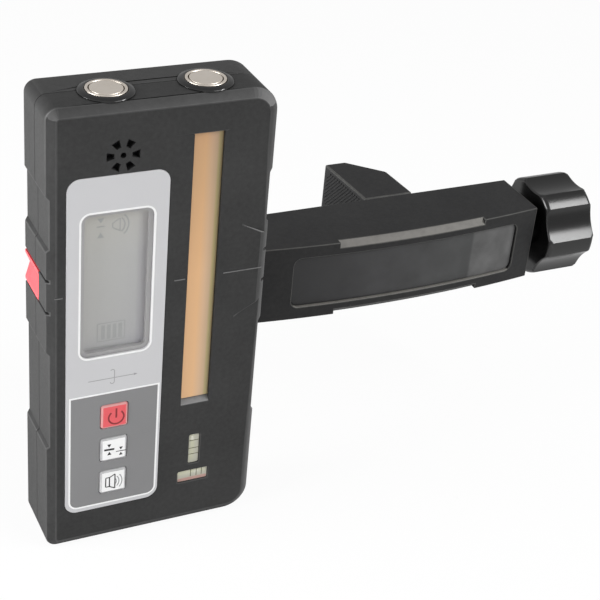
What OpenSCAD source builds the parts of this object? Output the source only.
// Laser receiver with a screw clamp for a levelling staff.
// The origin is the middle of the housing's bottom face. X runs along the clamp arm, -Y is the front.

/* [Housing] */
// Width of the housing
case_w = 77; // [75:1:83]
// Depth of the housing from front to back
case_d = 26; // [26:0.5:30]
// Height of the housing
case_h = 170; // [169:1:180]
// Thickness of the front and back walls
wall = 2.5; // [2.25:0.25:2.75]
// Thickness of the side, top and bottom walls
side_wall = 3.5; // [3.25:0.25:3.75]
// Radius of the two left corners, seen from the front
left_r = 4; // [3.75:0.25:5]
// Radius of the two right corners, seen from the front
right_r = 9; // [7:0.5:10]
// Width of the chamfer round the front face
front_chamfer = 3; // [2:0.25:3.5]
// Depth of the chamfer round the front face
front_fall = 2; // [1.5:0.25:3]
// Width of the chamfer round the back face
rear_chamfer = 2; // [1.5:0.25:3.5]
// Depth of the chamfer round the back face
rear_fall = 1.25; // [1:0.25:2]
// Depth of the grip recesses on the sides
grip_depth = 1; // [0.5:0.25:1.25]

/* [Face] */
// Distance from the left side of the housing to the light face plate
plate_left = 6.2; // [5.9:0.1:6.5]
// Distance from the face plate to the right side of the housing
plate_right = 36.5; // [36:0.1:37]
// Height of the face plate's lower edge
plate_bottom = 14.3; // [13.5:0.1:15]
// Distance from the face plate to the top of the housing
plate_top = 23.9; // [23:0.1:25]
// Thickness of the face plate
plate_t = 1; // [0.8:0.1:1.2]
// Distance from the side of the face plate to the display lens
lens_side = 5.05; // [4.8:0.05:5.6]
// Height of the display lens's lower edge
lens_bottom = 79; // [76:0.5:84]
// Distance from the display lens to the top of the face plate
lens_top = 13.1; // [12:0.1:16]
// Height of the middle of the upper key
key_top = 53.7; // [52:0.1:55]
// Edge length of a key
key_size = 9.7; // [9:0.1:10.5]
// Spacing of the three keys
key_pitch = 14.1; // [13.5:0.1:14.5]
// Travel of a key
key_travel = 0.5; // [0.3:0.05:0.55]
// Width of the sensor window
window_w = 10.5; // [9.5:0.25:11]
// Distance from the sensor window to the right side of the housing
window_right = 18.5; // [18:0.1:19]
// Height of the sensor window's lower edge
window_bottom = 54.5; // [54:0.1:58]
// Distance from the sensor window to the top of the housing
window_top = 13.1; // [12.6:0.1:15]

/* [Magnets] */
// Outer diameter of a magnet cup
cup_d = 13.4; // [12.5:0.1:14]
// Distance between the two magnets
magnet_span = 33; // [31:0.5:35]

/* [Batteries] */
// Diameter of a battery cell
cell_d = 14.2; // [13.8:0.1:14.5]
// Length of a battery cell
cell_l = 50.2; // [49:0.1:50.5]

/* [Clamp] */
// Height of the clamp arm
arm_h = 30.8; // [29.8:0.2:31.6]
// Depth of the clamp arm behind the housing
arm_d = 25; // [25:0.5:28]
// Distance from the housing's middle to the far end of the arm
arm_reach = 166.4; // [165:0.2:175]
// How far the front of the arm bulges forward
arm_bow = 4; // [3:0.25:5]
// Distance between the jaws as they stand
jaw_gap = 59.4; // [56:0.2:62]
// How far the jaws stand out behind the arm
jaw_reach = 31.7; // [28:0.5:36]
// Diameter of the lead screw
screw_d = 8; // [7.5:0.5:8.5]
// Diameter of the knob over its lobes
knob_d = 38.8; // [36:0.4:40]
// Length of the knob's lobed part
knob_l = 21; // [18:0.5:26]
// Number of lobes on the knob
knob_lobes = 6; // [5:1:8]

/* [Hidden] */

$fn = 96;
// Overshoot of a cut past the face it opens
over = 1;
// Clearance of a piece laid in a recess
lay = 0.15;
// Clearance of a piece that slides or turns past another
slide = 0.4;
// Radial clearance of a turning journal
run = 0.05;

// Depth planes of the housing
front_y = -case_d / 2;
back_y = case_d / 2;
front_in = front_y + wall;
back_in = back_y - wall;
split_depth = 13.2;
split_y = front_y + split_depth;
cavity_r = 0.2;
seam = 0.4;
seam_depth = 1.4;

// Sensor window, and the index height a little below its middle
window_h = case_h - window_bottom - window_top;
window_x = case_w / 2 - window_right - window_w / 2;
window_z = window_bottom + window_h / 2;
window_sink = 1;
index_drop = 1.6;
index_z = window_z - index_drop;

// Grip recesses on both sides, below and above the index height
grip_below = [60.8, 21.3];
grip_above = [16.5, 36.3];
grip_zones = [[index_z - grip_below[0], index_z - grip_below[1]],
              [index_z + grip_above[0], index_z + grip_above[1]]];
grip_slope = 1.2;
insert_half = 5.6;
insert_depth = 2.2;
insert_setback = 9.8;
insert_y = [front_y + insert_setback, back_y + over];
notch_half = 4.6;
notch_depth = 1.9;
// Grooves along the lower and upper edges of an insert
groove_h = 1;
groove_lap = 0.1;
groove_mid = insert_half + groove_h / 2 - groove_lap;
groove_depth = 1.2;
// Engraved mark on the left of the face
mark_h = 0.5;
mark_depth = 0.5;
mark_inset = 2.6;
mark_l = 2.6;
mark_x = [-case_w / 2 + mark_inset, -case_w / 2 + mark_inset + mark_l];
// Engraved line on both sides of the sensor window
line_gap = 0.75;
line_l = 3.9;
line_start = 2.4;
line_end = 2.1;
line_x = [[window_x - window_w / 2 - line_gap - line_l, window_x - window_w / 2 - line_gap],
          [window_x + window_w / 2 + line_start, case_w / 2 - line_end]];
// Bevelled strip along the right of the face, above and below a full-height block
bevel_w = 12.1;
bevel_x = case_w / 2 - bevel_w;
bevel_drop = 1.2;
// Distance from the index height to both bevelled zones, at their outer and inner edges
bevel_outer = 11.6;
bevel_inner = 18.6;

// Face plate and display
plate_w = case_w - plate_left - plate_right;
plate_h = case_h - plate_bottom - plate_top;
plate_x = -case_w / 2 + plate_left + plate_w / 2;
plate_z = plate_bottom + plate_h / 2;
plate_r = 4.5;
lens_w = plate_w - 2 * lens_side;
lens_h = case_h - plate_top - lens_top - lens_bottom;
lens_x = plate_x;
lens_z = lens_bottom + lens_h / 2;
lens_r = 3;
lens_sink = 0.15;
lcd_ledge = 1.2;
lcd_rim = 1.5;
lcd_t = 2;
lcd_r = 0.5;
strip_half = 1;
strip_inset = 1.5;

// Boards
board_standoff = 2.9;
board_t = 1.6;
board_y = front_in + board_standoff;
board_back = board_y + board_t;
board_gap = 0.5;
board_reach = 3;
board_low = 0.3;
board_high = 1.1;
main_x = [-case_w / 2 + side_wall + board_gap, plate_x + plate_w / 2 + board_reach];
main_z = [plate_bottom - board_low, case_h - plate_top - board_high];
hole_inset = 2.4;
main_hole_low = 6;
main_hole_mid = 7;
main_hole_high = 4;
main_holes = [for (x = [main_x[0] + hole_inset, main_x[1] - hole_inset],
                   z = [main_z[0] + main_hole_low, lens_bottom - main_hole_mid,
                        main_z[1] - main_hole_high]) [x, z]];
sensor_left = 3.1;
sensor_right = 6.6;
sensor_low = 4.5;
sensor_high = 0.1;
sensor_x = [window_x - window_w / 2 - sensor_left, window_x + window_w / 2 + sensor_right];
sensor_z = [window_bottom - sensor_low, case_h - window_top + sensor_high];
sensor_hole_low = 3;
sensor_holes = [for (z = [sensor_z[0] + sensor_hole_low, window_z, sensor_z[1] - hole_inset])
                    [sensor_x[1] - hole_inset, z]];
rib_t = 0.8;
rib_inset = 6;
rib_z = [window_bottom + rib_inset, case_h - window_top - rib_inset];
boss_r = 2.2;
pilot_r = 0.8;
bolt_head_r = 1.7;
bolt_head_t = 0.7;
bolt_bite = 3.4;

// Keys
key_offset = 0.25;
key_x = plate_x + key_offset;
key_z = [key_top, key_top - key_pitch, key_top - 2 * key_pitch];
key_gap = 0.3;
key_proud = 0.4;
key_r = 1;
flange_rim = 1.2;
flange_t = 0.8;
flange_gap = 0.05;
dome_h = 1;
dome_r = 2.6;
stem_r = 1.5;
stem_gap = 0.1;

// Sensor window's edges and the sensors behind it
window_lip = 1.5;
window_t = 1.5;
window_slope = 2.2;
diode_count = 8;
diode_w = 5;
diode_t = 1;
diode_fill = 0.8;

// Buzzer and its grille
buzzer_offset = 1.15;
buzzer_drop = 17.5;
buzzer_x = plate_x + buzzer_offset;
buzzer_z = case_h - buzzer_drop;
buzzer_r = 6.8;
buzzer_t = 5.5;
buzzer_port = 1;
grille_slots = 6;
grille_hole_r = 1;
grille_r = [2.9, 5.5];
grille_half = [0.8, 1.5];

// Vials
vial_offset = 0.85;
vial_x = window_x + vial_offset;
upright_drop = 22.5;
upright_z = window_bottom - upright_drop;
upright_size = [4.1, 12.8];
level_drop = 34.4;
level_z = window_bottom - level_drop;
level_size = [11.6, 5];
vial_rim = [1.3, 1.2];
vial_sink = 0.6;
vial_r = 0.6;
vial_depth = 3.4;
vial_bore_r = 1.5;
vial_end = 1;
retainer_left = 7.6;
retainer_right = 9.8;
retainer_low = 5.1;
retainer_high = 15;
retainer_x = [vial_x - retainer_left, vial_x + retainer_right];
retainer_z = [level_z - retainer_low, upright_z + retainer_high];
retainer_t = 1;
retainer_hole_x = 7;
retainer_hole_low = 3;
retainer_hole_high = 12;
retainer_holes = [[vial_x + retainer_hole_x, upright_z - retainer_hole_low],
                  [vial_x + retainer_hole_x, upright_z + retainer_hole_high]];

// Magnets in their seats on the top
magnet_setback = 10.4;
magnet_y = front_y + magnet_setback;
seat_floor = 1.5;
seat_wall = 1.2;
seat_lip = 2.3;
seat_rise = 1;
seat_edge = 0.4;
seat_taper = 0.4;
cup_proud = 0.2;
cup_r = cup_d / 2;
cup_h = 8;
cup_wall = 1;
cup_floor = 1.4;
magnet_gap = 0.35;
seat_r = cup_r + lay + seat_wall;
seat_top = case_h + seat_rise;
cup_z = seat_top + cup_proud - cup_h;
seat_z = cup_z - seat_floor;

// Case screws
post_side = 8.5;
post_end = 9;
case_posts = [for (x = [-case_w / 2 + post_side, case_w / 2 - post_side],
                   z = [post_end, case_h - post_end]) [x, z]];
post_r = 3.2;
case_screw_r = 1.3;
case_head_r = 2.6;
case_head_t = 1.8;
case_head_sink = 0.3;
case_screw_room = 2;
case_screw_tip = front_in + case_screw_room;

// Battery bay, opened by a door in the back
door_t = 2;
door_gap = 0.4;
door_rest = 0.05;
door_pad = 0.3;
cell_r = cell_d / 2;
cell_gap = 0.5;
cell_x = cell_r + cell_gap / 2;
cell_y = back_y - door_t - cell_gap - cell_r;
cell_bottom = 11.2;
cell_z = [cell_bottom, cell_bottom + cell_l];
contact_t = 0.5;
leaf_room = 1.8;
bay_side = 0.8;
bay_half = 2 * cell_r + bay_side;
bay_wall = 1.2;
bay_bottom = 5.6;
bay_z = [bay_bottom, cell_z[1] + leaf_room];
bay_floor = cell_y - cell_r;
shelf_t = 1;
bay_shelf = [cell_z[0] - contact_t - shelf_t, cell_z[0] - contact_t];
door_lap = 0.6;
door_half = bay_half + door_lap;
hinge_r = 1.8;
hinge_pin_r = 0.9;
hinge_sink = 0.3;
hinge_y = back_y - hinge_r - hinge_sink;
hinge_z = 8.6;
knuckle_half = 8;
lug_l = 3.6;
lug_gap = 0.4;
door_top = bay_z[1] - door_lap;
nub_r = 2.6;
nub_l = 1;

// Brass insert and bolt that carry the clamp
bolt_r = 3;
bolt_reach = 9;
bolt_tip = back_y - bolt_reach;
insert_r = 4.2;
insert_l = 10;
insert_boss_r = 6.6;
bolt_knob_r = 8;
bolt_knob_t = 9;
bolt_gap = 0.3;

// Clamp arm
arm_z = 78.9;
arm_x0 = -16;
arm_z0 = arm_z - arm_h / 2;
arm_z1 = arm_z + arm_h / 2;
arm_back = back_y + arm_d;
bow_x0 = 45;
bow_lap = 8;
bow_chord = (arm_reach - bow_x0) / 2;
bow_r = (bow_chord * bow_chord + arm_bow * arm_bow) / (2 * arm_bow);
bow_x = bow_x0 + bow_chord;
bow_y = back_y - arm_bow + bow_r;
bow_fn = 720;
band_left = 26.6;
band_right = 35.4;
band_x = [bow_x - band_left, bow_x + band_right];
band_cut = 2.2;
recess_left = 16.5;
recess_right = 8.8;
recess_x = [bow_x0 + recess_left, arm_reach - recess_right];
recess_edge = 5;
recess_half = arm_h / 2 - recess_edge;
recess_depth = 2;
recess_r = 3;
label_rim = 0.2;
label_t = 0.8;
tongue_x = [[-13, -8], [8, 30]];
tongue_half = 3.5;
tongue_h = 1.1;
arm_cavity_left = 11;
outer_bush_l = 8.4;
arm_cavity_x = [bow_x0 + arm_cavity_left, arm_reach - outer_bush_l];
arm_wall = 5;
arm_cavity_half = arm_h / 2 - arm_wall;
arm_front_t = 3;
cover_t = 3.5;
arm_cavity_y = [back_y + arm_front_t, arm_back - cover_t];
cover_rim = 2.5;
cover_left = 1;
cover_right = 2.4;
cover_x = [bow_x0 + cover_left, arm_reach - cover_right];
cover_half = arm_cavity_half + cover_rim;
slot_half = 5;
slot_left = 4;
slot_right = 6;
slot_x = [arm_cavity_x[0] + slot_left, arm_cavity_x[1] - slot_right];
cover_hole_left = 5;
cover_hole_edge = 3;
cover_holes = [for (x = [cover_x[0] + cover_hole_left, cover_x[1] - cover_hole_edge],
                    z = [cover_hole_edge - cover_half, cover_half - cover_hole_edge]) [x, arm_z + z]];
cover_screw_r = 1.2;
cover_head_r = 2.2;
cover_head_t = 1.6;
cover_bite = 7;

// Lead screw and its bearings
screw_r = screw_d / 2;
screw_setback = 13;
screw_y = back_y + screw_setback;
inner_journal_r = 3;
outer_journal_r = 3.5;
bush_r = 5;
bush_l = 6;
ring_r = 6;
ring_t = 1.6;
ring_gap = 0.4;
stub_r = 3;
stub_room = 4;
stub_l = knob_l - stub_room;

// Jaws
jaw_lean = 2.2;
jaw_w = 20.8;
fixed_w = 14;
fixed_step = 1;
fixed_face = bow_x0 - fixed_step;
jaw_face = fixed_face + jaw_gap;
jaw_tip_w = 8.9;
jaw_corner = 12;
jaw_draft = 1.5;
jaw_back = arm_back + jaw_reach;
jaw_front = arm_back + slide;
carriage_inset = 2.4;
carriage_l = 16;
carriage_x = [jaw_face + carriage_inset, jaw_face + carriage_inset + carriage_l];
carriage_half = arm_cavity_half - slide;
neck_inset = 1.6;
neck_half = slot_half - slide;
nut_r = 6.2;
nut_clear = 0.4;
jaw_screw_r = 1.6;
jaw_head_r = 3;
jaw_head_t = 2.5;
jaw_head_room = 8;
jaw_head_y = arm_back + jaw_head_room;
jaw_screw_inset = 4;
jaw_screw_x = [carriage_x[0] + jaw_screw_inset, carriage_x[1] - jaw_screw_inset];
jaw_screw_gap = 0.6;
jaw_screw_tip = screw_y + nut_r + jaw_screw_gap;
fixed_screw_half = 7.8;
fixed_screw_z = [arm_z - fixed_screw_half, arm_z + fixed_screw_half];
fixed_screw_bite = 10;
fixed_screw_tip = arm_back - fixed_screw_bite;

// Knob
knob_neck_l = 4.5;
knob_x = arm_reach + knob_neck_l;
knob_neck_r = 7.5;
knob_neck_gap = 0.5;
knob_edge = 1;
scallop_depth = 2.4;
scallop_r = 20;
cap_r = 8.6;
cap_t = 1.6;
cap_sink = 0.4;
pin_r = 1.2;
pin_offset = 2.5;
pin_x = arm_reach + pin_offset;
pin_sink = 0.2;
pin_reach = knob_neck_r - pin_sink;
knob_phase = 4;
slip = 0.02;

// Colours
case_grey = "#3c3d3e";
arm_black = "#303132";
plate_grey = "#cdced0";
brass = "#c8a24a";
steel = "#b9bcc0";

// Box between pairs of limits
module span(x, y, z) {
    translate([x[0], y[0], z[0]]) cube([x[1] - x[0], y[1] - y[0], z[1] - z[0]]);
}

// Rods along X at [y, z], along Y at [x, z] and along Z at [x, y]
module rod_x(p, x, r) {
    translate([x[0], p[0], p[1]]) rotate([0, 90, 0]) cylinder(h = x[1] - x[0], r = r);
}
module rod_y(p, y, r) {
    translate([p[0], y[0], p[1]]) rotate([-90, 0, 0]) cylinder(h = y[1] - y[0], r = r);
}
module rod_z(p, z, r) {
    translate([p[0], p[1], z[0]]) cylinder(h = z[1] - z[0], r = r);
}

// Tapered rods
module cone_x(p, x, r) {
    translate([x[0], p[0], p[1]]) rotate([0, 90, 0]) cylinder(h = x[1] - x[0], r1 = r[0], r2 = r[1]);
}
module cone_y(p, y, r) {
    translate([p[0], y[0], p[1]]) rotate([-90, 0, 0]) cylinder(h = y[1] - y[0], r1 = r[0], r2 = r[1]);
}

// Outlines drawn in YZ, XZ and XY and drawn out along the third axis
module along_x(x) {
    translate([x[0], 0, 0]) rotate([90, 0, 90]) linear_extrude(x[1] - x[0]) children();
}
module along_y(y) {
    translate([0, y[1], 0]) rotate([90, 0, 0]) linear_extrude(y[1] - y[0]) children();
}
module along_z(z) {
    translate([0, 0, z[0]]) linear_extrude(z[1] - z[0]) children();
}

// Plate in the XZ plane with rounded corners, given left and right radii
module plate(x, y, z, left, right) {
    span([x[0] + left, x[1] - right], y, z);
    span([x[0], (x[0] + x[1]) / 2], y, [z[0] + left, z[1] - left]);
    span([(x[0] + x[1]) / 2, x[1]], y, [z[0] + right, z[1] - right]);
    for (s = [0, 1]) {
        rod_y([x[0] + left, s == 0 ? z[0] + left : z[1] - left], y, left);
        rod_y([x[1] - right, s == 0 ? z[0] + right : z[1] - right], y, right);
    }
}
module pad(c, size, y, r) {
    plate([c[0] - size[0] / 2, c[0] + size[0] / 2], y, [c[1] - size[1] / 2, c[1] + size[1] / 2], r, r);
}

// The housing's outline, drawn in by an inset
module case_plan(y, inset) {
    plate([-case_w / 2 + inset, case_w / 2 - inset], y, [inset, case_h - inset],
          left_r - inset, right_r - inset);
}

// Cavity in the housing
module case_cavity(y) {
    inner = [-case_w / 2 + side_wall, case_w / 2 - side_wall];
    plate(inner, y, [side_wall, case_h - side_wall], cavity_r, right_r - side_wall);
}

// One corner of the housing with both chamfers
module case_corner(p, r) {
    cone_y(p, [front_y, front_y + front_fall], [r - front_chamfer, r]);
    rod_y(p, [front_y + front_fall, back_y - rear_fall], r);
    cone_y(p, [back_y - rear_fall, back_y], [r, r - rear_chamfer]);
}

// Half of the housing's level section, on the side that sign names
function half_section(sign) = [
    [0, front_y],
    [sign * (case_w / 2 - front_chamfer), front_y],
    [sign * case_w / 2, front_y + front_fall],
    [sign * case_w / 2, back_y - rear_fall],
    [sign * (case_w / 2 - rear_chamfer), back_y],
    [0, back_y]
];

// Whole housing as a solid block
module case_block() {
    along_x([-case_w / 2 + left_r, case_w / 2 - right_r])
        polygon([[front_y, front_chamfer], [front_y + front_fall, 0], [back_y - rear_fall, 0],
                 [back_y, rear_chamfer], [back_y, case_h - rear_chamfer], [back_y - rear_fall, case_h],
                 [front_y + front_fall, case_h], [front_y, case_h - front_chamfer]]);
    along_z([left_r, case_h - left_r]) polygon(half_section(-1));
    along_z([right_r, case_h - right_r]) polygon(half_section(1));
    for (top = [0, 1]) {
        case_corner([-case_w / 2 + left_r, top == 0 ? left_r : case_h - left_r], left_r);
        case_corner([case_w / 2 - right_r, top == 0 ? right_r : case_h - right_r], right_r);
    }
}

// Grip recesses with sloped ends, cut into both sides
module grip_cuts() {
    for (side = [-1, 1], zone = grip_zones)
        along_y([front_y - over, back_y + over])
            polygon([[side * (case_w / 2 + over), zone[0] - grip_slope * (over / grip_depth)],
                     [side * (case_w / 2 - grip_depth), zone[0] + grip_slope],
                     [side * (case_w / 2 - grip_depth), zone[1] - grip_slope],
                     [side * (case_w / 2 + over), zone[1] + grip_slope * (over / grip_depth)]]);
}

// Strip beside the window that falls away to the right edge and fades out towards the corners
module bevel_cut() {
    turn = atan(bevel_drop / bevel_w);
    for (end = [-1, 1]) {
        near = index_z + end * bevel_outer;
        far = end < 0 ? right_r : case_h - right_r;
        lean = atan(bevel_drop / (far - near) * cos(turn));
        intersection() {
            translate([bevel_x, front_y, near]) rotate([lean, 0, turn])
                span([-case_h, case_h], [-case_h, 0], [-case_h, case_h]);
            along_y([front_y - over, back_y])
                polygon([[bevel_x, index_z + end * bevel_inner], [case_w / 2 + over, near],
                         [case_w / 2 + over, far], [bevel_x, far]]);
        }
    }
}

// Room for an index insert in a side wall
module insert_room(side, grow) {
    x = side * case_w / 2;
    span(side < 0 ? [x - over, x + insert_depth + grow] : [x - insert_depth - grow, x + over],
         [insert_y[0] - grow, insert_y[1] + grow],
         [index_z - insert_half - grow, index_z + insert_half + grow]);
}

// Index marks engraved in the front and the sides
module index_marks() {
    for (x = concat(line_x, [mark_x]))
        span(x, [front_y - over, front_y + mark_depth], [index_z - mark_h / 2, index_z + mark_h / 2]);
    for (side = [-1, 1], end = [-1, 1]) {
        z = index_z + end * groove_mid;
        span(side < 0 ? [-case_w / 2 - over, -case_w / 2 + groove_depth] :
                        [case_w / 2 - groove_depth, case_w / 2 + over],
             [front_y + front_fall / 2, back_y + over], [z - groove_h / 2, z + groove_h / 2]);
    }
}

// Magnet seat's place in the top wall
module seat_room() {
    for (side = [-1, 1])
        rod_z([side * magnet_span / 2, magnet_y], [seat_z, case_h + over], seat_r);
}

// Grille slots and hole in front of the buzzer
module grille_cuts() {
    y = [front_y - over, front_in + over];
    rod_y([buzzer_x, buzzer_z], y, grille_hole_r);
    for (i = [0 : grille_slots - 1])
        translate([buzzer_x, 0, buzzer_z]) rotate([0, i * 360 / grille_slots, 0])
            along_y(y)
                polygon([[grille_r[0], -grille_half[0]], [grille_r[1], -grille_half[1]],
                         [grille_r[1], grille_half[1]], [grille_r[0], grille_half[0]]]);
}

// Sensor opening, whose lower edge slopes
module window_cut() {
    bottom = window_z - window_h / 2;
    top = window_z + window_h / 2;
    span([window_x - window_w / 2, window_x + window_w / 2], [front_y - over, front_in + over],
         [bottom, top]);
    along_x([window_x - window_w / 2, window_x + window_w / 2])
        polygon([[front_y - over, bottom - window_slope * (1 + over / wall)],
                 [front_in, bottom], [front_y - over, bottom]]);
}

// Everything that opens the front wall
module front_openings() {
    pad([plate_x, plate_z], [plate_w + 2 * lay, plate_h + 2 * lay], [front_y - over, front_y + plate_t],
        plate_r + lay);
    pad([lens_x, lens_z], [lens_w - 2 * lcd_ledge, lens_h - 2 * lcd_ledge],
        [front_y, front_in + over], lens_r - lcd_ledge);
    for (z = key_z)
        pad([key_x, z], [key_size + 2 * key_gap, key_size + 2 * key_gap], [front_y, front_in + over],
            key_r + key_gap);
    window_cut();
    grille_cuts();
    pad([vial_x, upright_z], upright_size, [front_y - over, front_in + over], vial_r);
    pad([vial_x, level_z], level_size, [front_y - over, front_in + over], vial_r);
}

// Posts inside the front half
module front_posts() {
    for (p = concat(main_holes, sensor_holes))
        rod_y(p, [front_in - over, board_y], boss_r);
    for (p = retainer_holes)
        rod_y(p, [front_in - over, front_in + vial_depth], boss_r);
    for (p = case_posts)
        rod_y(p, [front_in - over, split_y], post_r);
    span([sensor_x[0], sensor_x[0] + rib_t], [front_in - over, board_y], rib_z);
}

// Pilot holes for all screws that bite into the front half
module front_pilots() {
    for (p = concat(main_holes, sensor_holes))
        rod_y(p, [board_y - bolt_bite + bolt_head_t, board_y + over], pilot_r);
    for (p = retainer_holes)
        rod_y(p, [front_in + vial_depth - bolt_bite + bolt_head_t, board_y + over], pilot_r);
    for (p = case_posts)
        rod_y(p, [case_screw_tip - lay, split_y + over], case_screw_r);
}

module front_shell() {
    color(case_grey) difference() {
        union() {
            difference() {
                intersection() {
                    case_block();
                    span([-case_w, case_w], [front_y - over, split_y], [-over, case_h + over]);
                }
                case_cavity([front_in, split_y + over]);
            }
            front_posts();
        }
        front_openings();
        front_pilots();
        grip_cuts();
        bevel_cut();
        index_marks();
        seat_room();
        for (side = [-1, 1])
            insert_room(side, 0);
        difference() {
            case_plan([split_y - seam, split_y + over], -over);
            case_plan([split_y - seam - over, split_y + 2 * over], seam_depth);
        }
    }
}

// Walls of the battery bay, from the floor to the back wall
module bay_block() {
    span([-bay_half - bay_wall, bay_half + bay_wall], [bay_floor - bay_wall, back_in + over],
         [bay_z[0] - bay_wall, bay_z[1] + bay_wall]);
}

// Space for the cells, the door and the door's swing
module bay_space() {
    difference() {
        span([-bay_half, bay_half], [bay_floor, back_y + over], bay_z);
        span([-bay_half - over, bay_half + over], [bay_floor - over, hinge_y - hinge_r - slide], bay_shelf);
    }
    span([-door_half - door_gap, door_half + door_gap], [back_y - door_t, back_y + over],
         [bay_z[0], door_top + door_gap]);
}

// Lugs that carry the door's pin
module door_lugs() {
    for (side = [-1, 1]) {
        x0 = side * (knuckle_half + lug_gap);
        x1 = side * (knuckle_half + lug_gap + lug_l);
        x = [min(x0, x1), max(x0, x1)];
        rod_x([hinge_y, hinge_z], x, hinge_r);
        span(x, [hinge_y - hinge_r, hinge_y + hinge_r], [bay_z[0] - bay_wall / 2, hinge_z]);
    }
}

// Grooves that take the clamp's tongues
module tongue_room() {
    for (x = tongue_x)
        span([x[0] - lay, x[1] + lay], [back_y - tongue_h - lay, back_y + over],
             [arm_z - tongue_half - lay, arm_z + tongue_half + lay]);
}

module rear_shell() {
    color(case_grey) difference() {
        union() {
            difference() {
                union() {
                    difference() {
                        intersection() {
                            case_block();
                            span([-case_w, case_w], [split_y, back_y + over], [-over, case_h + over]);
                        }
                        case_cavity([split_y - over, back_in]);
                    }
                    bay_block();
                }
                bay_space();
            }
            door_lugs();
            for (p = case_posts)
                rod_y(p, [split_y, back_in + over], post_r);
            rod_y([0, arm_z], [back_y - insert_l, back_in + over], insert_boss_r);
        }
        rod_y([0, arm_z], [back_y - insert_l - over, back_y + over], insert_r);
        rod_x([hinge_y, hinge_z], [-bay_half, bay_half], hinge_pin_r + run);
        for (p = case_posts) {
            rod_y(p, [split_y - over, back_y + over], case_screw_r);
            rod_y(p, [back_y - case_head_sink - case_head_t, back_y + over], case_head_r);
        }
        grip_cuts();
        index_marks();
        seat_room();
        tongue_room();
        for (side = [-1, 1])
            insert_room(side, 0);
    }
}

// Light plate laid in the front, open for the lens and the keys
module face_plate() {
    color(plate_grey) difference() {
        pad([plate_x, plate_z], [plate_w, plate_h], [front_y, front_y + plate_t], plate_r);
        pad([lens_x, lens_z], [lens_w + 2 * lay, lens_h + 2 * lay],
            [front_y - over, front_y + plate_t + over], lens_r + lay);
        for (z = key_z)
            pad([key_x, z], [key_size + 2 * key_gap, key_size + 2 * key_gap],
                [front_y - over, front_y + plate_t + over], key_r + key_gap);
    }
}

module lcd_lens() {
    color("#a9aaa8") pad([lens_x, lens_z], [lens_w, lens_h],
                         [front_y + lens_sink, front_y + plate_t], lens_r);
}

module lcd_module() {
    color("#9aa19a") pad([lens_x, lens_z], [lens_w + 2 * lcd_rim, lens_h + 2 * lcd_rim],
                         [front_in, front_in + lcd_t], lcd_r);
}

// Two soft contact strips between the display and the board
module zebra_strips() {
    reach = lens_h / 2 + lcd_rim - strip_inset;
    color("#d98aa0") for (side = [-1, 1])
        span([lens_x - lens_w / 2, lens_x + lens_w / 2], [front_in + lcd_t, board_y],
             [lens_z + side * reach - strip_half, lens_z + side * reach + strip_half]);
}

// Cap, flange and stem of one key
module key(z) {
    flange_y = front_in + flange_gap;
    pad([key_x, z], [key_size, key_size], [front_y - key_proud, flange_y + flange_t], key_r);
    pad([key_x, z], [key_size + 2 * flange_rim, key_size + 2 * flange_rim],
        [flange_y, flange_y + flange_t], key_r + flange_rim);
    rod_y([key_x, z], [flange_y, board_y - dome_h - key_travel - stem_gap], stem_r);
}
module key_power() {
    color("#e8565c") key(key_z[0]);
}
module key_accuracy() {
    color("#f2f2f2") key(key_z[1]);
}
module key_volume() {
    color("#f2f2f2") key(key_z[2]);
}

module dome_switches() {
    color(steel) for (z = key_z)
        cone_y([key_x, z], [board_y - dome_h, board_y], [dome_r - dome_h, dome_r]);
}

module main_board() {
    color("#2f6b46") difference() {
        span(main_x, [board_y, board_back], main_z);
        for (p = main_holes)
            rod_y(p, [board_y - over, board_back + over], pilot_r + lay);
    }
}

// Window with a front that fills its opening and a rim behind the wall
module sensor_window() {
    x = [window_x - window_w / 2, window_x + window_w / 2];
    z = [window_z - window_h / 2, window_z + window_h / 2];
    color("#e0b080") {
        span([x[0] + lay, x[1] - lay], [front_y + window_sink, front_in + window_t],
             [z[0] + lay, z[1] - lay]);
        span([x[0] - window_lip, x[1] + window_lip], [front_in, front_in + window_t],
             [z[0] - window_lip, z[1] + window_lip]);
    }
}

module sensor_board() {
    color("#2f6b46") difference() {
        span(sensor_x, [board_y, board_back], sensor_z);
        for (p = sensor_holes)
            rod_y(p, [board_y - over, board_back + over], pilot_r + lay);
    }
}

// Row of light sensors behind the window
module photodiodes() {
    step = window_h / diode_count;
    color("#222833") for (i = [0 : diode_count - 1]) {
        z = window_z - window_h / 2 + (i + 0.5) * step;
        span([window_x - diode_w / 2, window_x + diode_w / 2], [board_y - diode_t, board_y],
             [z - diode_fill * step / 2, z + diode_fill * step / 2]);
    }
}

module buzzer() {
    color("#1d1d1f") difference() {
        rod_y([buzzer_x, buzzer_z], [front_in, front_in + buzzer_t], buzzer_r);
        rod_y([buzzer_x, buzzer_z], [front_in - over, front_in + buzzer_port], grille_hole_r);
    }
}

// Clear vial with a front that fills its opening, a rim behind the wall and a bore for the fluid
module vial(z, size, upright) {
    back = front_in + vial_depth;
    middle = (front_y + vial_sink + back) / 2;
    full = [size[0] + 2 * vial_rim[0], size[1] + 2 * vial_rim[1]];
    difference() {
        union() {
            pad([vial_x, z], [size[0] - 2 * lay, size[1] - 2 * lay], [front_y + vial_sink, back],
                vial_r - lay);
            pad([vial_x, z], full, [front_in, back], vial_r);
        }
        if (upright)
            rod_z([vial_x, middle], [z - full[1] / 2 + vial_end, z + full[1] / 2 + over], vial_bore_r);
        else
            rod_x([middle, z], [vial_x - full[0] / 2 + vial_end, vial_x + full[0] / 2 + over], vial_bore_r);
    }
}
module vertical_vial() {
    color("#d8dc8c") vial(upright_z, upright_size, true);
}
module horizontal_vial() {
    color("#d8dc8c") vial(level_z, level_size, false);
}

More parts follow.
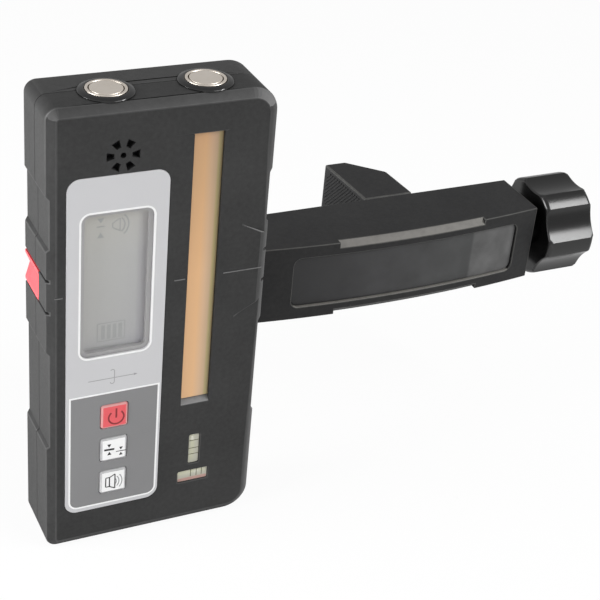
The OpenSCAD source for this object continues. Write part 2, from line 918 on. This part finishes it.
module vial_retainer() {
    y = [front_in + vial_depth, front_in + vial_depth + retainer_t];
    color("#26272a") difference() {
        span(retainer_x, y, retainer_z);
        for (p = retainer_holes)
            rod_y(p, [y[0] - over, y[1] + over], pilot_r + lay);
    }
}

// Small pan-head screw with its head seated at y
module board_screw(p, y) {
    rod_y(p, [y, y + bolt_head_t], bolt_head_r);
    rod_y(p, [y - bolt_bite, y], pilot_r);
}
module board_screws() {
    color(steel) {
        for (p = concat(main_holes, sensor_holes))
            board_screw(p, board_back);
        for (p = retainer_holes)
            board_screw(p, front_in + vial_depth + retainer_t);
    }
}

// Black seat that carries one magnet in the top wall
module magnet_seat(x) {
    lip_r = seat_r + seat_lip - seat_wall;
    difference() {
        union() {
            rod_z([x, magnet_y], [seat_z, case_h + seat_edge], seat_r);
            rod_z([x, magnet_y], [case_h, case_h + seat_edge], lip_r);
            translate([x, magnet_y, case_h + seat_edge])
                cylinder(h = seat_rise - seat_edge, r1 = lip_r, r2 = seat_r - seat_taper);
        }
        rod_z([x, magnet_y], [cup_z, seat_top + over], cup_r + lay);
    }
}
module left_magnet_seat() {
    color("#1f2022") magnet_seat(-magnet_span / 2);
}
module right_magnet_seat() {
    color("#1f2022") magnet_seat(magnet_span / 2);
}

// Steel cup, open at the top
module magnet_cup(x) {
    difference() {
        rod_z([x, magnet_y], [cup_z, cup_z + cup_h], cup_r);
        rod_z([x, magnet_y], [cup_z + cup_floor, cup_z + cup_h + over], cup_r - cup_wall);
    }
}
module left_magnet_cup() {
    color("#b5aca4") magnet_cup(-magnet_span / 2);
}
module right_magnet_cup() {
    color("#b5aca4") magnet_cup(magnet_span / 2);
}
module magnet(x) {
    rod_z([x, magnet_y], [cup_z + cup_floor, cup_z + cup_h], cup_r - cup_wall - magnet_gap);
}
module left_magnet() {
    color("#a8a19b") magnet(-magnet_span / 2);
}
module right_magnet() {
    color("#a8a19b") magnet(magnet_span / 2);
}

// Red insert with a notch that points at the index height
module index_insert(side) {
    x = side * case_w / 2;
    difference() {
        intersection() {
            insert_room(side, -lay / 2);
            case_block();
        }
        along_y([insert_y[0] - over, insert_y[1] + over])
            polygon([[x + side * over, index_z - notch_half * (1 + over / notch_depth)],
                     [x - side * notch_depth, index_z],
                     [x + side * over, index_z + notch_half * (1 + over / notch_depth)]]);
    }
}
module left_index_insert() {
    color("#e8565c") index_insert(-1);
}
module right_index_insert() {
    color("#e8565c") index_insert(1);
}

// Door plate on a knuckle, cut back beside it so that it clears the lugs and the ledges as it swings
module battery_door() {
    side = door_half + over;
    color(case_grey) difference() {
        union() {
            span([-door_half, door_half], [back_y - door_t + door_rest, back_y], [hinge_z, door_top]);
            rod_x([hinge_y, hinge_z], [-knuckle_half, knuckle_half], hinge_r);
            for (x = [-cell_x, cell_x])
                rod_y([x, (cell_z[0] + cell_z[1]) / 2], [back_y - door_t - door_pad, back_y - over],
                      nub_r);
        }
        rod_x([hinge_y, hinge_z], [-knuckle_half - over, knuckle_half + over], hinge_pin_r);
        for (x = [[-side, -knuckle_half], [knuckle_half, side]])
            span(x, [back_y - door_t - over, back_y + over], [hinge_z - over, hinge_z + hinge_r + slide]);
    }
}
module door_hinge_pin() {
    reach = knuckle_half + lug_gap + lug_l;
    color(steel) rod_x([hinge_y, hinge_z], [-reach, reach], hinge_pin_r);
}

// Cell with its positive cap up or down
module cell(x, up) {
    cap_at = up ? cell_z[1] - nub_l : cell_z[0];
    body = up ? [cell_z[0], cell_z[1] - nub_l] : [cell_z[0] + nub_l, cell_z[1]];
    rod_z([x, cell_y], body, cell_r);
    rod_z([x, cell_y], [cap_at, cap_at + nub_l], nub_r);
}
module left_cell() {
    color("#44608c") cell(-cell_x, true);
}
module right_cell() {
    color("#44608c") cell(cell_x, false);
}

// Plate that joins the two cells at the bottom
module battery_bridge() {
    color(steel) span([-cell_x - nub_r, cell_x + nub_r], [cell_y - nub_r, cell_y + nub_r],
                      [cell_z[0] - contact_t, cell_z[0]]);
}

// Folded leaf at the top of each cell
module battery_terminals() {
    color(steel) for (x = [-cell_x, cell_x])
        along_x([x - nub_r, x + nub_r])
            polygon([[cell_y - nub_r, cell_z[1]], [cell_y + nub_r, cell_z[1]],
                     [cell_y + nub_r, cell_z[1] + contact_t],
                     [cell_y - nub_r + contact_t, cell_z[1] + contact_t],
                     [cell_y - nub_r + contact_t, bay_z[1] - contact_t],
                     [cell_y + nub_r, bay_z[1] - contact_t], [cell_y + nub_r, bay_z[1]],
                     [cell_y - nub_r, bay_z[1]]]);
}

module clamp_insert() {
    color(brass) difference() {
        rod_y([0, arm_z], [back_y - insert_l, back_y], insert_r);
        rod_y([0, arm_z], [back_y - insert_l - over, back_y + over], bolt_r + run);
    }
}

module case_screws() {
    color(steel) for (p = case_posts) {
        rod_y(p, [case_screw_tip, back_y - case_head_sink - case_head_t], case_screw_r);
        rod_y(p, [back_y - case_head_sink - case_head_t, back_y - case_head_sink], case_head_r);
    }
}

// Upright cylinder that bows the front of the arm
module bow(r) {
    translate([bow_x, bow_y, arm_z0 - over]) cylinder(h = arm_h + 2 * over, r = r, $fn = bow_fn);
}

// Arm as a solid bar
module arm_bar() {
    span([arm_x0, bow_x0 + bow_lap], [back_y, arm_back], [arm_z0, arm_z1]);
    intersection() {
        span([bow_x0 - bow_lap, arm_reach], [back_y - arm_bow - over, arm_back], [arm_z0, arm_z1]);
        bow(bow_r);
    }
    for (x = tongue_x)
        span(x, [back_y - tongue_h, back_y + over], [arm_z - tongue_half, arm_z + tongue_half]);
}

// Chamfer along the middle of the front's upper and lower edges
module band_cuts() {
    intersection() {
        span(band_x, [back_y - arm_bow - over, arm_back], [arm_z0 - over, arm_z1 + over]);
        translate([bow_x, bow_y, arm_z])
            for (side = [-1, 1])
                rotate_extrude($fn = bow_fn)
                    polygon([[bow_r - band_cut - over, side * (arm_h / 2 + over)],
                             [bow_r + over, side * (arm_h / 2 - band_cut - over)],
                             [bow_r + over, side * (arm_h / 2 + over)]]);
    }
}

// Slice of the recess in the arm's front between two bow radii
module recess_slice(rim, inner, outer) {
    y = [back_y - arm_bow - over, back_y + recess_depth + over];
    intersection() {
        plate([recess_x[0] + rim, recess_x[1] - rim], y,
              [arm_z - recess_half + rim, arm_z + recess_half - rim], recess_r - rim, recess_r - rim);
        difference() {
            bow(outer);
            bow(inner);
        }
    }
}

module clamp_arm() {
    axis = [screw_y, arm_z];
    color(arm_black) difference() {
        arm_bar();
        band_cuts();
        recess_slice(0, bow_r - recess_depth, bow_r + over);
        span(arm_cavity_x, [arm_cavity_y[0], arm_back + over],
             [arm_z - arm_cavity_half, arm_z + arm_cavity_half]);
        span([cover_x[0] - lay, cover_x[1] + lay], [arm_cavity_y[1], arm_back + over],
             [arm_z - cover_half - lay, arm_z + cover_half + lay]);
        rod_x(axis, [arm_cavity_x[0] - bush_l, arm_cavity_x[0] + over], bush_r);
        rod_x(axis, [arm_cavity_x[1] - over, arm_reach + over], bush_r);
        rod_y([0, arm_z], [back_y - over, arm_back + over], bolt_r + run);
        for (p = cover_holes)
            rod_y(p, [arm_cavity_y[1] - cover_bite, arm_back], cover_screw_r);
        for (z = fixed_screw_z)
            rod_y([fixed_face - fixed_w / 2, z], [fixed_screw_tip, arm_back + over], jaw_screw_r);
    }
}

module arm_rear_cover() {
    color(arm_black) difference() {
        span(cover_x, [arm_cavity_y[1], arm_back], [arm_z - cover_half, arm_z + cover_half]);
        span(slot_x, [arm_cavity_y[1] - over, arm_back + over], [arm_z - slot_half, arm_z + slot_half]);
        for (p = cover_holes) {
            rod_y(p, [arm_cavity_y[1] - over, arm_back + over], cover_screw_r);
            rod_y(p, [arm_back - cover_head_t, arm_back + over], cover_head_r);
        }
    }
}

module arm_cover_screws() {
    color(steel) for (p = cover_holes) {
        rod_y(p, [arm_cavity_y[1] - cover_bite, arm_back - cover_head_t], cover_screw_r);
        rod_y(p, [arm_back - cover_head_t, arm_back], cover_head_r);
    }
}

module arm_label_plate() {
    color("#3a3b3c") recess_slice(label_rim, bow_r - recess_depth, bow_r - recess_depth + label_t);
}

// Screw hole through a jaw, with a deep counterbore from behind
module jaw_hole(p) {
    rod_y(p, [arm_back - over, jaw_back + over], jaw_screw_r);
    rod_y(p, [jaw_head_y, jaw_back + over], jaw_head_r);
}
module jaw_screw(p, tip) {
    rod_y(p, [tip, jaw_head_y], jaw_screw_r);
    rod_y(p, [jaw_head_y, jaw_head_y + jaw_head_t], jaw_head_r);
}

module fixed_jaw() {
    color(arm_black) difference() {
        along_z([arm_z0, arm_z1])
            polygon([[fixed_face, arm_back], [fixed_face, jaw_back], [fixed_face - jaw_tip_w, jaw_back],
                     [fixed_face - fixed_w, jaw_back - jaw_corner / 2], [fixed_face - fixed_w, arm_back]]);
        for (z = fixed_screw_z)
            jaw_hole([fixed_face - fixed_w / 2, z]);
    }
}
module fixed_jaw_screws() {
    color(steel) for (z = fixed_screw_z)
        jaw_screw([fixed_face - fixed_w / 2, z], fixed_screw_tip);
}

// Ribbed jaw that stands out behind the arm and leans a little over the gap
module moving_jaw() {
    tip_x = jaw_face - jaw_lean;
    color(arm_black) difference() {
        along_z([arm_z0, arm_z1])
            polygon([[jaw_face, jaw_front], [tip_x, jaw_back], [tip_x + jaw_tip_w, jaw_back],
                     [jaw_face + jaw_w - jaw_draft, jaw_back - jaw_corner], [jaw_face + jaw_w, jaw_front]]);
        for (x = jaw_screw_x)
            jaw_hole([x, arm_z]);
    }
}
module jaw_screws() {
    color(steel) for (x = jaw_screw_x)
        jaw_screw([x, arm_z], jaw_screw_tip);
}

// Carriage in the arm, whose neck reaches through the slot to the jaw
module jaw_carriage() {
    color("#444547") difference() {
        union() {
            span(carriage_x, [arm_cavity_y[0] + slide, arm_cavity_y[1] - slide],
                 [arm_z - carriage_half, arm_z + carriage_half]);
            span([carriage_x[0] + neck_inset, carriage_x[1] - neck_inset], [screw_y, jaw_front],
                 [arm_z - neck_half, arm_z + neck_half]);
        }
        rod_x([screw_y, arm_z], [carriage_x[0] - over, carriage_x[1] + over], nut_r);
        for (x = jaw_screw_x)
            rod_y([x, arm_z], [jaw_screw_tip, jaw_front + over], jaw_screw_r);
    }
}

module jaw_nut() {
    color(brass) difference() {
        rod_x([screw_y, arm_z], carriage_x, nut_r);
        rod_x([screw_y, arm_z], [carriage_x[0] - over, carriage_x[1] + over], screw_r + nut_clear);
    }
}

// Screw with a journal at each end and a stub for the knob
module lead_screw() {
    axis = [screw_y, arm_z];
    thread = [arm_cavity_x[0] + ring_gap, arm_cavity_x[1] - ring_t - 2 * ring_gap];
    stub = [knob_x, knob_x + stub_l];
    color(steel) difference() {
        union() {
            rod_x(axis, [arm_cavity_x[0] - bush_l + ring_gap, thread[0] + over], inner_journal_r);
            rod_x(axis, thread, screw_r);
            rod_x(axis, [thread[1] - over, stub[0]], outer_journal_r);
            rod_x(axis, [stub[0] - over, stub[1]], stub_r);
        }
        knob_pin_rod();
    }
}

module inner_bush() {
    axis = [screw_y, arm_z];
    color(brass) difference() {
        rod_x(axis, [arm_cavity_x[0] - bush_l, arm_cavity_x[0]], bush_r);
        rod_x(axis, [arm_cavity_x[0] - bush_l - over, arm_cavity_x[0] + over], inner_journal_r + run);
    }
}
module outer_bush() {
    axis = [screw_y, arm_z];
    color(brass) difference() {
        rod_x(axis, [arm_cavity_x[1], arm_reach], bush_r);
        rod_x(axis, [arm_cavity_x[1] - over, arm_reach + over], outer_journal_r + run);
    }
}

// Ring on the screw that holds it in the arm
module retaining_ring() {
    axis = [screw_y, arm_z];
    x = [arm_cavity_x[1] - ring_t - ring_gap, arm_cavity_x[1] - ring_gap];
    color(steel) difference() {
        rod_x(axis, x, ring_r);
        rod_x(axis, [x[0] - over, x[1] + over], outer_journal_r);
    }
}

// Pin across the knob's neck
module knob_pin_rod() {
    rod_z([pin_x, screw_y], [arm_z - pin_reach, arm_z + pin_reach], pin_r);
}
module knob_pin() {
    color(steel) knob_pin_rod();
}

module clamp_knob() {
    axis = [screw_y, arm_z];
    x = [knob_x, knob_x + knob_l];
    lobe_r = knob_d / 2;
    color("#262729") difference() {
        union() {
            difference() {
                union() {
                    cone_x(axis, [x[0], x[0] + knob_edge], [lobe_r - knob_edge, lobe_r]);
                    rod_x(axis, [x[0] + knob_edge, x[1] - knob_edge], lobe_r);
                    cone_x(axis, [x[1] - knob_edge, x[1]], [lobe_r, lobe_r - knob_edge]);
                }
                for (i = [0 : knob_lobes - 1]) {
                    turn = knob_phase + (i + 0.5) * 360 / knob_lobes;
                    far = lobe_r - scallop_depth + scallop_r;
                    rod_x([screw_y + far * cos(turn), arm_z + far * sin(turn)],
                          [x[0] - over, x[1] + over], scallop_r);
                }
            }
            rod_x(axis, [arm_reach + knob_neck_gap, x[0] + over], knob_neck_r);
        }
        rod_x(axis, [arm_reach, x[0]], outer_journal_r + slip);
        rod_x(axis, [x[0] - over, x[0] + stub_l + slip], stub_r + slip);
        rod_x(axis, [x[1] - cap_t - cap_sink, x[1] + over], cap_r);
        knob_pin_rod();
    }
}

module knob_cap() {
    x = knob_x + knob_l - cap_sink;
    color("#1f2022") rod_x([screw_y, arm_z], [x - cap_t, x], cap_r);
}

// Hand bolt through the arm into the brass insert
module clamp_bolt() {
    head = arm_back + bolt_gap;
    color("#2a2b2d") {
        rod_y([0, arm_z], [bolt_tip, head + over], bolt_r);
        rod_y([0, arm_z], [head, head + bolt_knob_t], bolt_knob_r);
    }
}

front_shell();
rear_shell();
face_plate();
lcd_lens();
lcd_module();
zebra_strips();
key_power();
key_accuracy();
key_volume();
dome_switches();
main_board();
sensor_window();
sensor_board();
photodiodes();
buzzer();
vertical_vial();
horizontal_vial();
vial_retainer();
board_screws();
left_magnet_seat();
right_magnet_seat();
left_magnet_cup();
right_magnet_cup();
left_magnet();
right_magnet();
left_index_insert();
right_index_insert();
battery_door();
door_hinge_pin();
left_cell();
right_cell();
battery_bridge();
battery_terminals();
clamp_insert();
case_screws();
clamp_arm();
arm_rear_cover();
arm_cover_screws();
arm_label_plate();
fixed_jaw();
fixed_jaw_screws();
moving_jaw();
jaw_carriage();
jaw_nut();
jaw_screws();
lead_screw();
inner_bush();
outer_bush();
retaining_ring();
clamp_knob();
knob_pin();
knob_cap();
clamp_bolt();
